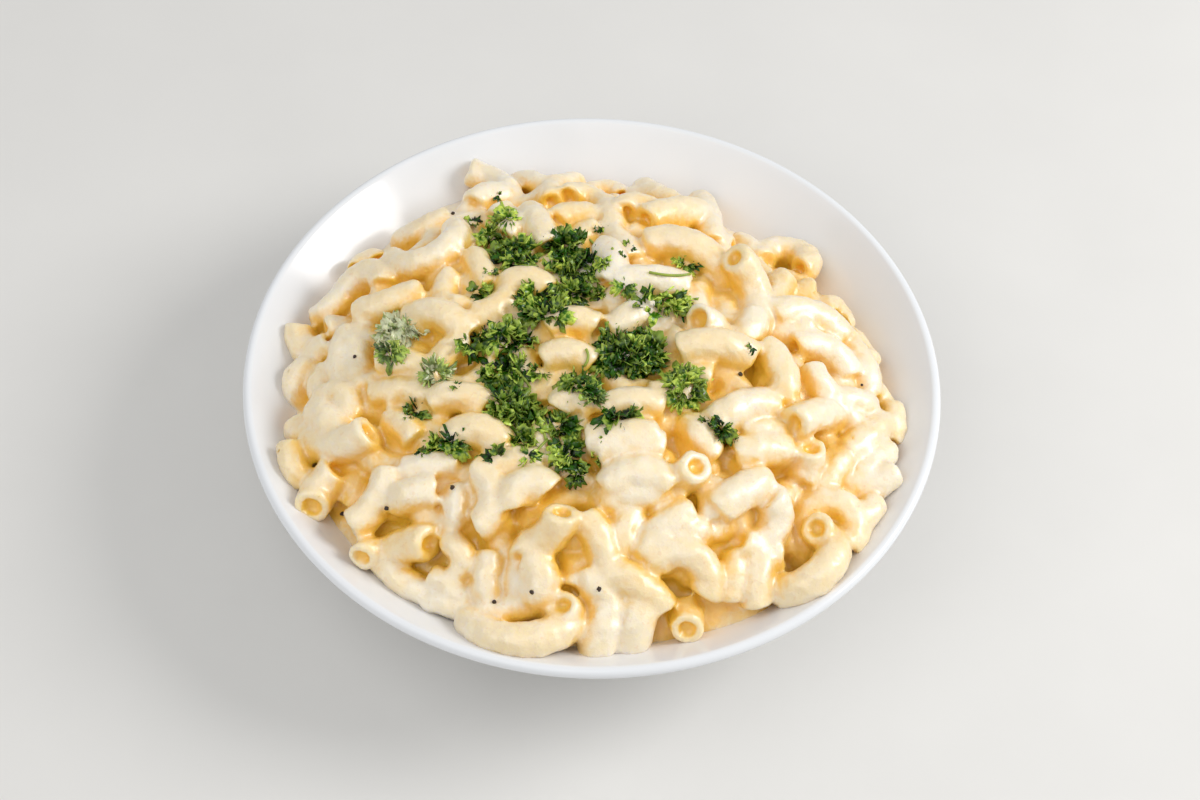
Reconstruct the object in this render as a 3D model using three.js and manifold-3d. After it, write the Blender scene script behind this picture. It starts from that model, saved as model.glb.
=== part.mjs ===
// A bowl of macaroni and cheese: a glazed coupe bowl and the heap of sauced elbow macaroni that fills it.
// Millimetres, +Z up. The origin is the centre of the foot ring, on the surface that the bowl stands on.
import * as THREE from "three";
import { mergeVertices } from "three/addons/utils/BufferGeometryUtils.js";
import Module from "manifold-3d";

// Bowl
const RIM_RADIUS = 100;
const BOWL_HEIGHT = 46;
const LIP_RADIUS = 1.7; // the rounded lip's, which is half the wall's thickness
const RIM_SLOPE = THREE.MathUtils.degToRad(41); // the wall's slope from level, at the rim
const WALL_REACH = 31; // how far in from the rim the wall keeps that slope
const FLOOR_HEIGHT = 7; // top of the bowl's floor
const FLOOR_REACH = 54; // how far out from the middle the floor keeps level
const FOOT_RADIUS = 46;
const FOOT_WIDTH = 4;
const FOOT_HEIGHT = 3;
const FOOT_TAPER = 1; // how much narrower each face of the foot ring is at its bottom
const BOWL_SIDES = 60;
const WALL_STEPS = 8; // down the inner face
const LIP_STEPS = 4;

// Heap
const WALL_GAP = 0.3; // clearance between the heap and the bowl
const HEAP_EDGE_RADIUS = 87; // where the sauce meets the wall
const HEAP_CROWN = 61; // height of the sauce at the middle, under the topmost elbows
const HEAP_FULLNESS = 2.2; // the dome's power: 2 is a paraboloid, and more is flatter on top
const HEAP_SIDES = 30;
const HEAP_RINGS = 5;
const HOLLOW_ANGLE = THREE.MathUtils.degToRad(48); // the side where the heap stands back from the wall
const HOLLOW_SPREAD = THREE.MathUtils.degToRad(30);
const HOLLOW_DEPTH = 5;

// Elbow macaroni, cooked and coated
const ELBOW_COUNT = 60;
const ELBOW_RADIUS = 5;
const ELBOW_BEND_RADIUS = 11.5; // of the tube's centre line
const ELBOW_ARC = THREE.MathUtils.degToRad(125); // on average
const ELBOW_ARC_RANGE = 0.4; // from the shortest elbow to the longest, as a share of the average
const ELBOW_SIDES = 6; // an even number
const ELBOW_STEPS = 4;
const ELBOW_SPREAD = 81; // the farthest elbow's distance from the middle
const ELBOW_SINK = 0.6; // how far a centre line lies under the sauce
const ELBOW_CENTRE = 0.3; // what an elbow turns about, as a share of the bend radius under the arc's top
const ELBOW_TIP_DOWN = THREE.MathUtils.degToRad(-26); // the most that an elbow's bend dips under the sauce
const ELBOW_TIP_UP = THREE.MathUtils.degToRad(48); // and the most that it stands out of it
const GOLDEN_ANGLE = Math.PI * (3 - Math.sqrt(5));
const ARC_STEP = Math.sqrt(3) % 1; // steps of the three things that vary from elbow to elbow
const HEADING_STEP = Math.sqrt(7) % 1;
const TIP_STEP = Math.sqrt(2) % 1;

const wasm = await Module();
wasm.setup();

// A closed three.js geometry as a solid, and a solid as a geometry.
function solidOf(geometry) {
  const bare = geometry.clone();
  bare.deleteAttribute("normal");
  bare.deleteAttribute("uv");
  const merged = mergeVertices(bare, 1e-3);
  return new wasm.Manifold(
    new wasm.Mesh({
      numProp: 3,
      vertProperties: new Float32Array(merged.attributes.position.array),
      triVerts: new Uint32Array(merged.index.array),
    }),
  );
}

function geometryOf(solid) {
  const mesh = solid.getMesh();
  const geometry = new THREE.BufferGeometry();
  geometry.setAttribute("position", new THREE.BufferAttribute(mesh.vertProperties, 3));
  geometry.setIndex(new THREE.BufferAttribute(mesh.triVerts, 1));
  geometry.computeVertexNormals();
  return geometry;
}

// A profile of (radius, height) points turned about the Z axis.
function turned(profile, sides) {
  return new THREE.LatheGeometry(profile, sides).rotateX(Math.PI / 2);
}

// The rounded lip, from where it leaves the outer face to where it meets the inner one.
const lip = new THREE.EllipseCurve(
  RIM_RADIUS - LIP_RADIUS,
  BOWL_HEIGHT - LIP_RADIUS,
  LIP_RADIUS,
  LIP_RADIUS,
  RIM_SLOPE - Math.PI / 2,
  RIM_SLOPE + Math.PI / 2,
);

// The bowl's inner face from the lip down to the middle of the floor, as (radius, height) points.
function innerProfile(inset, divisions) {
  const top = lip.getPoint(1);
  const wall = new THREE.CubicBezierCurve(
    top,
    new THREE.Vector2(top.x - WALL_REACH, top.y - WALL_REACH * Math.tan(RIM_SLOPE)),
    new THREE.Vector2(FLOOR_REACH, FLOOR_HEIGHT),
    new THREE.Vector2(0, FLOOR_HEIGHT),
  );
  return wall.getPoints(divisions).map((point, i) => {
    const along = wall.getTangent(i / divisions);
    const inward = new THREE.Vector2(along.y, -along.x); // square to the wall, into the bowl
    return new THREE.Vector2(i === divisions ? 0 : point.x + inward.x * inset, point.y + inward.y * inset);
  });
}

// The foot, the outer wall, the lip and the inner face, in one closed profile.
function bowlGeometry() {
  const foot = [
    new THREE.Vector2(0, FOOT_HEIGHT),
    new THREE.Vector2(FOOT_RADIUS - FOOT_WIDTH - FOOT_TAPER, FOOT_HEIGHT),
    new THREE.Vector2(FOOT_RADIUS - FOOT_WIDTH, 0),
    new THREE.Vector2(FOOT_RADIUS, 0),
    new THREE.Vector2(FOOT_RADIUS + FOOT_TAPER, 2 * FOOT_HEIGHT),
  ];
  const outside = innerProfile(-2 * LIP_RADIUS, WALL_STEPS).filter((point) => point.x > RIM_RADIUS / 2);
  const profile = [
    ...foot,
    ...outside.reverse(),
    ...lip.getPoints(LIP_STEPS).slice(1),
    ...innerProfile(0, WALL_STEPS).slice(1),
  ];
  return turned(profile, BOWL_SIDES);
}

// How far out the heap reaches on the side that faces an angle.
function edgeRadius(angle) {
  const turn = Math.atan2(Math.sin(angle - HOLLOW_ANGLE), Math.cos(angle - HOLLOW_ANGLE));
  return HEAP_EDGE_RADIUS - HOLLOW_DEPTH * Math.exp(-((turn / HOLLOW_SPREAD) ** 2));
}

// Height of the bowl's inner face at a radius.
const innerFace = innerProfile(WALL_GAP, 4 * WALL_STEPS);
function wallHeight(radius) {
  const i = innerFace.findIndex((point) => point.x <= radius);
  const [outer, inner] = [innerFace[i - 1], innerFace[i]];
  return THREE.MathUtils.mapLinear(radius, inner.x, outer.x, inner.y, outer.y);
}

// Height of the sauce at a place in plan: a dome from the wall up to the crown.
function sauceHeight(x, y) {
  const edge = edgeRadius(Math.atan2(y, x));
  const share = Math.hypot(x, y) / edge;
  return HEAP_CROWN + (wallHeight(edge) - HEAP_CROWN) * share ** HEAP_FULLNESS;
}

// The sauce's body: the dome's rings over a plain block, which bowlRoom later cuts to the bowl.
function sauceBody() {
  const profile = [new THREE.Vector2(0, 0), new THREE.Vector2(RIM_RADIUS, 0)];
  for (let ring = 0; ring <= HEAP_RINGS; ring++)
    profile.push(new THREE.Vector2(RIM_RADIUS * Math.cos((ring / HEAP_RINGS) * (Math.PI / 2)), BOWL_HEIGHT));
  profile.at(-1).x = 0;
  const geometry = turned(profile, HEAP_SIDES);
  const place = geometry.attributes.position;
  for (let i = 0; i < place.count; i++)
    if (place.getZ(i) > 0) place.setZ(i, sauceHeight(place.getX(i), place.getY(i)));
  return solidOf(geometry);
}

// The centre line of an elbow, bent in its own XY plane about a point beside it.
class Bend extends THREE.Curve {
  constructor(arc) {
    super();
    this.arc = arc;
  }
  getPoint(t, target = new THREE.Vector3()) {
    const angle = (t - 0.5) * this.arc;
    return target.set(
      ELBOW_BEND_RADIUS * Math.sin(angle),
      ELBOW_BEND_RADIUS * (Math.cos(angle) - 1 + ELBOW_CENTRE),
      0,
    );
  }
}

// An even spread of values from 0 to 1 that never repeats, for what varies from elbow to elbow.
function varied(i, step) {
  return (i * step) % 1;
}

function elbow(i) {
  const section = new THREE.Shape().absarc(0, 0, ELBOW_RADIUS, 0, 2 * Math.PI);
  const geometry = new THREE.ExtrudeGeometry(section, {
    curveSegments: ELBOW_SIDES / 2, // a full circle gets twice as many
    steps: ELBOW_STEPS,
    extrudePath: new Bend(ELBOW_ARC * (1 + ELBOW_ARC_RANGE * (varied(i, ARC_STEP) - 0.5))),
  });
  const radius = ELBOW_SPREAD * Math.sqrt((i + 0.5) / ELBOW_COUNT);
  const angle = i * GOLDEN_ANGLE;
  const [x, y] = [radius * Math.cos(angle), radius * Math.sin(angle)];
  const step = 0.5; // of the slope's measure
  const slope = new THREE.Vector3(
    sauceHeight(x - step, y) - sauceHeight(x + step, y),
    sauceHeight(x, y - step) - sauceHeight(x, y + step),
    2 * step,
  ).normalize();
  const lie = new THREE.Quaternion().setFromUnitVectors(new THREE.Vector3(0, 0, 1), slope);
  const heading = new THREE.Quaternion().setFromAxisAngle(
    new THREE.Vector3(0, 0, 1),
    2 * Math.PI * varied(i, HEADING_STEP),
  );
  const tip = new THREE.Quaternion().setFromAxisAngle(
    new THREE.Vector3(1, 0, 0),
    THREE.MathUtils.lerp(ELBOW_TIP_DOWN, ELBOW_TIP_UP, varied(i, TIP_STEP)),
  );
  geometry.applyQuaternion(lie.multiply(heading).multiply(tip));
  geometry.translate(x, y, sauceHeight(x, y) - ELBOW_SINK);
  return solidOf(geometry);
}

// The room inside the bowl and above it, which keeps the heap clear of the wall.
function bowlRoom() {
  const wall = innerProfile(WALL_GAP, WALL_STEPS).reverse();
  const open = RIM_RADIUS - 2 * LIP_RADIUS;
  const top = HEAP_CROWN * 2;
  return solidOf(turned([...wall, new THREE.Vector2(open, top), new THREE.Vector2(0, top)], BOWL_SIDES));
}

function heapGeometry() {
  const elbows = Array.from({ length: ELBOW_COUNT }, (_, i) => elbow(i));
  const heap = elbows.reduce((made, piece) => made.add(piece), sauceBody());
  const pieces = heap.intersect(bowlRoom()).decompose();
  const [whole] = pieces.sort((a, b) => b.volume() - a.volume()); // without what the wall cuts loose
  return geometryOf(whole);
}

const glaze = new THREE.MeshStandardMaterial({ color: 0xf4f3f1, roughness: 0.18, metalness: 0 });
const cheese = new THREE.MeshStandardMaterial({ color: 0xf6d79c, roughness: 0.42, metalness: 0 });

const bowl = new THREE.Mesh(bowlGeometry(), glaze);
bowl.name = "bowl";
const heap = new THREE.Mesh(heapGeometry(), cheese);
heap.name = "macaroni_heap";

const part = new THREE.Group();
part.add(bowl, heap);
export default part;
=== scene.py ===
# A bowl of macaroni and cheese with chopped curly parsley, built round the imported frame.
# Everything is in metres in the frame's own axes: +Z up, the diner sits on the -Y side.
import math
import random

import bmesh
import bpy
from mathutils import Matrix, Vector, noise
from mathutils.bvhtree import BVHTree
from mathutils.kdtree import KDTree


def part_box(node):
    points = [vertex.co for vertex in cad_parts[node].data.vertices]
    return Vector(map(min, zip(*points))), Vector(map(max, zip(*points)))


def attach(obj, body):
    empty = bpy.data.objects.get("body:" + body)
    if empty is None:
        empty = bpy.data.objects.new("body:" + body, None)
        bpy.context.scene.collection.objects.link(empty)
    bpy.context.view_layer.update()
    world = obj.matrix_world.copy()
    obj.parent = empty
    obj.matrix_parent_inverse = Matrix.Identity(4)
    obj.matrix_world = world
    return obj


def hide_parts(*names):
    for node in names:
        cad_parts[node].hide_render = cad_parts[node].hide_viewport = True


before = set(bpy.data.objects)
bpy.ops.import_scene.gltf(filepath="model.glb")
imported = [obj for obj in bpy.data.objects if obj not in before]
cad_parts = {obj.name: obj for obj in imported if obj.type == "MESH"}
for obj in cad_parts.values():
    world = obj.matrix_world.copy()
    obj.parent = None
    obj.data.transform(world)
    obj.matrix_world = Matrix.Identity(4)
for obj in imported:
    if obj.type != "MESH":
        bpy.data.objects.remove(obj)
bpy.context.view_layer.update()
mm = 0.001
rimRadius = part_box("bowl")[1].x
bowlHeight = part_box("bowl")[1].z


def report(stage):
    print(f"[macaroni] {stage}")


class Wire:
    # a socket; sums and products of wires and numbers add their Math nodes
    def __init__(self, paint, socket):
        self.paint = paint
        self.socket = socket

    def __add__(self, other):
        return self.paint.math("ADD", self, other)

    def __radd__(self, other):
        return self.paint.math("ADD", other, self)

    def __sub__(self, other):
        return self.paint.math("SUBTRACT", self, other)

    def __rsub__(self, other):
        return self.paint.math("SUBTRACT", other, self)

    def __mul__(self, other):
        return self.paint.math("MULTIPLY", self, other)

    def __rmul__(self, other):
        return self.paint.math("MULTIPLY", other, self)

    def __pow__(self, other):
        return self.paint.math("POWER", self, other)


class Paint:
    # a material and the wiring of its nodes
    def __init__(self, name):
        self.material = bpy.data.materials.new(name)
        self.material.use_nodes = True
        self.tree = self.material.node_tree
        self.tree.nodes.clear()

    def node(self, kind, settings=None, inputs=None, output=0):
        made = self.tree.nodes.new(kind)
        for setting, value in (settings or {}).items():
            if setting == "stops":
                setStops(made.color_ramp.elements, value)
            else:
                setattr(made, setting, value)
        for place, value in (inputs or {}).items():
            if isinstance(value, Wire):
                self.tree.links.new(value.socket, made.inputs[place])
            else:
                made.inputs[place].default_value = value
        return None if output is None else Wire(self, made.outputs[output])

    def math(self, operation, first, second):
        return self.node("ShaderNodeMath", {"operation": operation}, {0: first, 1: second})

    def position(self):
        return self.node("ShaderNodeTexCoord", output="Object")

    def attribute(self, name):
        return self.node("ShaderNodeAttribute", {"attribute_name": name}, output="Fac")

    def noise(self, size, detail=2.0, roughness=0.5):
        # size is the width of the noise's largest patches
        inputs = {
            "Vector": self.position(),
            "Scale": 1 / size,
            "Detail": detail,
            "Roughness": roughness,
        }
        return self.node("ShaderNodeTexNoise", None, inputs)

    def between(self, value, low, high):
        # 0 at low and under, 1 at high and over, with soft ends
        settings = {"interpolation_type": "SMOOTHSTEP"}
        return self.node("ShaderNodeMapRange", settings, {0: value, 1: low, 2: high})

    def blend(self, share, first, second):
        # colours are "#rrggbb" or wires
        first, second = (opaque(end) if isinstance(end, str) else end for end in (first, second))
        settings = {"data_type": "RGBA", "clamp_factor": True}
        return self.node("ShaderNodeMix", settings, {0: share, 6: first, 7: second}, 2)

    def ramp(self, value, stops):
        # each stop is a place from 0 to 1 and its colour
        return self.node("ShaderNodeValToRGB", {"stops": stops}, {0: value})

    def bump(self, height, depth):
        # depth is in metres, from the height's 0 to its 1
        return self.node("ShaderNodeBump", None, {"Height": height, "Distance": depth, "Strength": 1.0})

    def finish(self, inputs):
        shader = self.node("ShaderNodeBsdfPrincipled", None, inputs)
        self.node("ShaderNodeOutputMaterial", None, {"Surface": shader}, None)
        return self.material


def setStops(elements, stops):
    while len(elements) < len(stops):
        elements.new(1.0)
    for element, (place, colour) in zip(elements, stops):
        element.position = place
        element.color = opaque(colour)


def opaque(hexCode):
    # a "#rrggbb" screen colour as linear red, green and blue, with an alpha of 1
    shares = [int(hexCode[i : i + 2], 16) / 255 for i in (1, 3, 5)]
    linear = [s / 12.92 if s <= 0.04045 else ((s + 0.055) / 1.055) ** 2.4 for s in shares]
    return (*linear, 1.0)


cameraSettings = {
    "aim": (2.4 * mm, -10.6 * mm, bowlHeight),
    "distance": 650 * mm,
    "elevation": math.radians(53.4),
    "roll": math.radians(2.36),
    "lens": 68.6,  # in camera millimetres, on a 36 mm sensor
    "sensor": 36.0,
}
viewWidth = 1200  # all places across and down the view are in these pixels
viewHeight = 800


def cameraAxes():
    # right, up and back, as the camera is turned
    elevation = cameraSettings["elevation"]
    ahead = Vector((0, math.cos(elevation), -math.sin(elevation)))
    turn = Matrix.Rotation(cameraSettings["roll"], 3, -ahead)
    right = turn @ Vector((1, 0, 0))
    return right, right.cross(ahead), -ahead


def addCamera():
    right, up, back = cameraAxes()
    lens = bpy.data.cameras.new("camera")
    lens.lens = cameraSettings["lens"]
    lens.sensor_width = cameraSettings["sensor"]
    camera = bpy.data.objects.new("camera", lens)
    bpy.context.collection.objects.link(camera)
    turn = Matrix((right, up, back)).transposed().to_4x4()
    camera.matrix_world = Matrix.Translation(eyePoint()) @ turn
    bpy.context.scene.camera = camera


def eyePoint():
    return Vector(cameraSettings["aim"]) + cameraAxes()[2] * cameraSettings["distance"]


def sightLine(across, down):
    # the direction in which the camera sees a place of its view
    right, up, back = cameraAxes()
    perPixel = cameraSettings["sensor"] / cameraSettings["lens"] / viewWidth
    aside = (across - viewWidth / 2) * perPixel
    over = (viewHeight / 2 - down) * perPixel
    return (right * aside + up * over - back).normalized()


addCamera()
report("camera is in place")

bowlSettings = {
    "lipRadius": 1.7 * mm,
    "rimSlope": math.radians(41),
    "wallReach": 31 * mm,  # how far in from the rim the wall keeps that slope
    "floorHeight": 7 * mm,
    "floorReach": 54 * mm,  # how far out from the middle the floor keeps level
    "footRadius": 46 * mm,
    "footWidth": 4 * mm,
    "footHeight": 3 * mm,
    "footTaper": 1 * mm,
    "footRounding": 0.5 * mm,
    "wallSteps": 40,
    "lipSteps": 14,
    "sides": 240,
    "glazeStart": (0.1 * mm, 0.9 * mm),  # the foot is wiped clean of glaze up to here
    "glazeColours": ("#e6e8ea", "#ecedef"),
    "clayColours": ("#cfc8bc", "#e2dcd2"),
}


def cubicPoint(corners, t):
    shares = ((1 - t) ** 3, 3 * t * (1 - t) ** 2, 3 * t * t * (1 - t), t**3)
    return sum((corner * share for corner, share in zip(corners, shares)), Vector((0, 0)))


def lipPoint(angle):
    # on the lip's round edge, at an angle from level
    radius = bowlSettings["lipRadius"]
    centre = Vector((rimRadius - radius, bowlHeight - radius))
    return centre + Vector((math.cos(angle), math.sin(angle))) * radius


def wallProfile(inset):
    # (radius, height) down the inner face from the lip to the middle, moved square to itself by inset
    top = lipPoint(bowlSettings["rimSlope"] + math.pi / 2)
    reach = bowlSettings["wallReach"]
    drop = Vector((reach, reach * math.tan(bowlSettings["rimSlope"])))
    floorHeight = bowlSettings["floorHeight"]
    corners = (top, top - drop, Vector((bowlSettings["floorReach"], floorHeight)), Vector((0, floorHeight)))
    steps = bowlSettings["wallSteps"]
    points = []
    for i in range(steps + 1):
        here = cubicPoint(corners, i / steps)
        ahead = cubicPoint(corners, min(1, (i + 0.5) / steps))
        behind = cubicPoint(corners, max(0, (i - 0.5) / steps))
        along = (ahead - behind).normalized()
        moved = here + Vector((along.y, -along.x)) * inset
        points.append(Vector((max(0.0, moved.x), moved.y)))
    points[-1].x = 0
    return points


innerWall = wallProfile(0)


def wallHeight(radius):
    # height of the bowl's inner face at a distance from the middle
    for outer, inner in zip(innerWall, innerWall[1:]):
        if inner.x <= radius:
            share = (radius - inner.x) / (outer.x - inner.x)
            return inner.y + (outer.y - inner.y) * share
    return innerWall[-1].y


def bowlProfile():
    s = bowlSettings
    foot = [
        Vector((0, s["footHeight"])),
        Vector((s["footRadius"] - s["footWidth"] - s["footTaper"], s["footHeight"])),
        Vector((s["footRadius"] - s["footWidth"], s["footRounding"])),
        Vector((s["footRadius"] - s["footWidth"] + s["footRounding"], 0)),
        Vector((s["footRadius"] - s["footRounding"], 0)),
        Vector((s["footRadius"], s["footRounding"])),
        Vector((s["footRadius"] + s["footTaper"], 2 * s["footHeight"])),
    ]
    outer = [p for p in wallProfile(-2 * s["lipRadius"]) if p.x > rimRadius / 2]
    start = s["rimSlope"] - math.pi / 2
    lip = [lipPoint(start + math.pi * i / s["lipSteps"]) for i in range(1, s["lipSteps"])]
    return foot + outer[::-1] + lip + innerWall


def addPiece(bm, name, material, slotName, smooth=True):
    # a bmesh as a finished piece of the object
    mesh = bpy.data.meshes.new(name)
    bm.to_mesh(mesh)
    bm.free()
    piece = bpy.data.objects.new(name, mesh)
    bpy.context.collection.objects.link(piece)
    mesh.materials.append(material)
    mesh.polygons.foreach_set("use_smooth", [smooth] * len(mesh.polygons))
    if slotName:
        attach(piece, "root")
    return piece


def spinProfile(profile, sides):
    bm = bmesh.new()
    line = [bm.verts.new((p.x, 0, p.y)) for p in profile]
    edges = [bm.edges.new(pair) for pair in zip(line, line[1:])]
    bmesh.ops.spin(
        bm,
        geom=line + edges,
        cent=(0, 0, 0),
        axis=(0, 0, 1),
        angle=2 * math.pi,
        steps=sides,
        use_merge=True,
    )
    bmesh.ops.remove_doubles(bm, verts=bm.verts, dist=0.001 * mm)
    bmesh.ops.recalc_face_normals(bm, faces=bm.faces)
    return bm


def glazePaint():
    s = bowlSettings
    paint = Paint("white glaze")
    height = paint.node("ShaderNodeSeparateXYZ", None, {0: paint.position()}, "Z")
    bare = 1 - paint.between(height, *s["glazeStart"])
    mottle = paint.noise(24 * mm, 3)
    speck = paint.noise(0.5 * mm, 2)
    glazed = paint.blend(mottle, *s["glazeColours"])
    clay = paint.blend(speck, *s["clayColours"])
    wave = paint.noise(9 * mm, 2) + 0.06 * paint.noise(0.7 * mm, 2)
    return paint.finish(
        {
            "Base Color": paint.blend(bare, glazed, clay),
            "Roughness": 0.13 + 0.06 * mottle + 0.6 * bare,
            "IOR": 1.5,
            "Normal": paint.bump(wave, 0.04 * mm),
        }
    )


def addBowl():
    bowl = addPiece(spinProfile(bowlProfile(), bowlSettings["sides"]), "glazed_bowl", glazePaint(), "glaze")
    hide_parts("bowl")


addBowl()
report("bowl is thrown and glazed")

heapSettings = {
    "crown": 59.2 * mm,  # height of the sauce bed at the middle, under the top elbows
    "edgeRadius": 85.5 * mm,  # where the bed meets the wall
    "fullness": 2.6,  # 2 is a paraboloid, and more is flatter on top
    "unevenness": 1.2 * mm,
    "unevenSize": 14 * mm,
    "unevenFade": 6,  # the power with which the unevenness fades towards the edge
    "tuck": 0.8 * mm,  # how far the heap reaches into the bowl's wall, so that no gap shows
    "sides": 90,
    "rings": 24,
    "voxel": 0.5 * mm,
    "fillet": 0.4 * mm,  # how far the sauce bridges the creases
    "softening": 4,
    "relief": (0.42 * mm, 0.14 * mm),  # depth of the coat's lumps, large and small
    "reliefSize": (3.4 * mm, 1.1 * mm),
    "triangles": 190000,
}

# Where the heap stands back from the wall: the side it faces, how wide and how deep. A negative
# depth is where it laps up the wall.
hollows = [
    (math.radians(48), math.radians(30), 6 * mm),
    (math.radians(92), math.radians(22), 5 * mm),
    (math.radians(142), math.radians(12), 1.5 * mm),
    (math.radians(302), math.radians(10), -2.5 * mm),
]

elbowSettings = {
    "sink": 0.7,  # the share of the listed heights that is left once the elbows settle
    "raised": 0.3 * mm,  # how much higher they lie then
    "settleSteps": 24,  # in which an elbow's place in the view is brought down onto the bed
    "settleShare": 0.6,
    "leastBend": 0.12,  # as a share of the length; a straighter elbow is bent upwards by this much
    "bore": 0.47,  # as a share of the radius
    "recess": 2.0 * mm,  # how deep the bore stands open
    "taper": 0.08,  # how much narrower it is there, as a share of the radius
    "rounding": 0.2,  # of the ends' outer edges, as a share of the radius
    "sectionSides": 16,
    "arcSteps": 11,
    "fillers": 190,  # elbows that lie deeper, between the ones listed below
    "fillerRadius": 4.2 * mm,
    "fillerBend": 9.5 * mm,
    "fillerArc": math.radians(120),
    "fillerArcRange": (0.8, 1.15),
    "fillerLift": (-0.6 * mm, 1.6 * mm),  # of its bend over the sauce
    "fillerTip": (-0.5, 0.9),  # in radians, from under the sauce to out of it
    "fillerInset": 3 * mm,  # from the farthest bend to the edge of the sauce
    "fillerClear": 5 * mm,  # from its ends to the edge of the sauce
    "seed": 7,
}

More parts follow.
